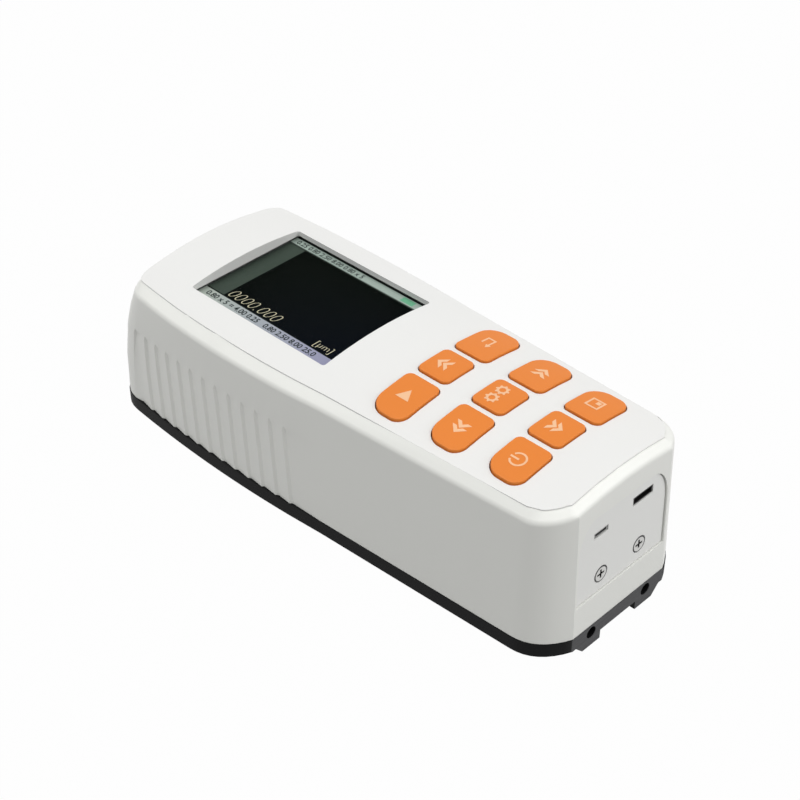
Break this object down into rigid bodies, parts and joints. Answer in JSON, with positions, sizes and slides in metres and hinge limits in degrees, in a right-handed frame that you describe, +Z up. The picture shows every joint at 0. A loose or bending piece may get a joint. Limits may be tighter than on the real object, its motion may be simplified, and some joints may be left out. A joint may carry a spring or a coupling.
{
  "type": "surface roughness tester",
  "caption": "Handheld surface roughness tester: white housing on a black railed foot, display and orange keys on top, and a stylus pickup driven in and out of the nose.",
  "frame": {"origin": "centre of the overall box on the plane of the rails' soles", "axes": "+X towards the rear end with the sockets, +Z up from the work"},
  "size_m": [0.172, 0.063, 0.0484],
  "materials": {
    "black_foot": "black anodised",
    "white_shell": "satin moulded",
    "white_cover": "satin moulded",
    "white_panel": "satin moulded",
    "bright_steel": "plated",
    "dark_steel": "blackened",
    "window": "clear",
    "display": "dark display",
    "grey_plastic": "moulded",
    "orange_key": "satin",
    "soft_mat": "silicone",
    "board": "solder resist",
    "brass": "turned",
    "black_plastic": "moulded",
    "battery_wrap": "shrink wrap",
    "frame_alloy": "milled",
    "ground_steel": "ground",
    "motor_can": "drawn can",
    "carriage_alloy": "dark anodised",
    "pickup_steel": "turned",
    "skid_red": "polished",
    "seal_rubber": "matt"
  },
  "bodies": {
    "body": {"foot_plate": "black_foot", "housing": "white_shell", "top_cover": "white_cover", "rear_panel": "white_panel", "rear_screws": "bright_steel", "foot_screws": "dark_steel", "display_window": "window", "display_panel": "display", "display_frame": "grey_plastic", "display_screws": "bright_steel", "keypad_mat": "soft_mat", "keypad_board": "board", "keypad_spacers": "brass", "main_board": "board", "board_posts": "brass", "usb_socket": "bright_steel", "card_socket": "bright_steel", "buzzer": "black_plastic", "battery_pack": "battery_wrap", "battery_tray": "black_plastic", "drive_frame": "frame_alloy", "guide_rods": "ground_steel", "screw_bushes": "brass", "drive_motor": "motor_can", "limit_switches": "black_plastic", "pickup_seal": "seal_rubber"},
    "screw": {"lead_screw": "ground_steel"},
    "pinion": {"motor_pinion": "brass"},
    "carriage": {"carriage": "carriage_alloy", "pickup_tube": "pickup_steel", "pickup_skid": "skid_red", "stylus_pin": "ground_steel"},
    "stylus": {"stylus_arm": "ground_steel"},
    "key_start_body": {"key_start": "orange_key"},
    "key_up_body": {"key_up": "orange_key"},
    "key_return_body": {"key_return": "orange_key"},
    "key_left_body": {"key_left": "orange_key"},
    "key_enter_body": {"key_enter": "orange_key"},
    "key_right_body": {"key_right": "orange_key"},
    "key_power_body": {"key_power": "orange_key"},
    "key_down_body": {"key_down": "orange_key"},
    "key_save_body": {"key_save": "orange_key"}
  },
  "joints": [
    {"name": "screw_spin", "type": "hinge", "parent": "body", "child": "screw", "pos_m": [0.015, 0, 0.019], "axis": [1, 0, 0], "range_deg": [0, 1801]},
    {"name": "pinion_spin", "type": "hinge", "parent": "body", "child": "pinion", "pos_m": [0.015, 0.00631, 0.02801], "axis": [1, 0, 0], "range_deg": [-3152, 0]},
    {"name": "carriage_slide", "type": "slide", "parent": "body", "child": "carriage", "axis": [-1, 0, 0], "range_m": [0, 0.0175]},
    {"name": "stylus_swing", "type": "hinge", "parent": "carriage", "child": "stylus", "pos_m": [-0.065, 0, 0.008], "axis": [0, 1, 0], "range_deg": [-0.4, 2], "stiffness_Nm_per_rad": 0.02},
    {"name": "key_start_press", "type": "slide", "parent": "body", "child": "key_start_body", "axis": [0, 0, 1], "range_m": [-0.0006, 0], "stiffness_N_per_m": 900, "springref_m": 0.0004},
    {"name": "key_up_press", "type": "slide", "parent": "body", "child": "key_up_body", "axis": [0, 0, 1], "range_m": [-0.0006, 0], "stiffness_N_per_m": 900, "springref_m": 0.0004},
    {"name": "key_return_press", "type": "slide", "parent": "body", "child": "key_return_body", "axis": [0, 0, 1], "range_m": [-0.0006, 0], "stiffness_N_per_m": 900, "springref_m": 0.0004},
    {"name": "key_left_press", "type": "slide", "parent": "body", "child": "key_left_body", "axis": [0, 0, 1], "range_m": [-0.0006, 0], "stiffness_N_per_m": 900, "springref_m": 0.0004},
    {"name": "key_enter_press", "type": "slide", "parent": "body", "child": "key_enter_body", "axis": [0, 0, 1], "range_m": [-0.0006, 0], "stiffness_N_per_m": 900, "springref_m": 0.0004},
    {"name": "key_right_press", "type": "slide", "parent": "body", "child": "key_right_body", "axis": [0, 0, 1], "range_m": [-0.0006, 0], "stiffness_N_per_m": 900, "springref_m": 0.0004},
    {"name": "key_power_press", "type": "slide", "parent": "body", "child": "key_power_body", "axis": [0, 0, 1], "range_m": [-0.0006, 0], "stiffness_N_per_m": 900, "springref_m": 0.0004},
    {"name": "key_down_press", "type": "slide", "parent": "body", "child": "key_down_body", "axis": [0, 0, 1], "range_m": [-0.0006, 0], "stiffness_N_per_m": 900, "springref_m": 0.0004},
    {"name": "key_save_press", "type": "slide", "parent": "body", "child": "key_save_body", "axis": [0, 0, 1], "range_m": [-0.0006, 0], "stiffness_N_per_m": 900, "springref_m": 0.0004}
  ],
  "couplings": [
    {"joint": "screw_spin", "follows": "carriage_slide", "rad_per_m": 1795.2},
    {"joint": "pinion_spin", "follows": "carriage_slide", "rad_per_m": -3141.6}
  ]
}
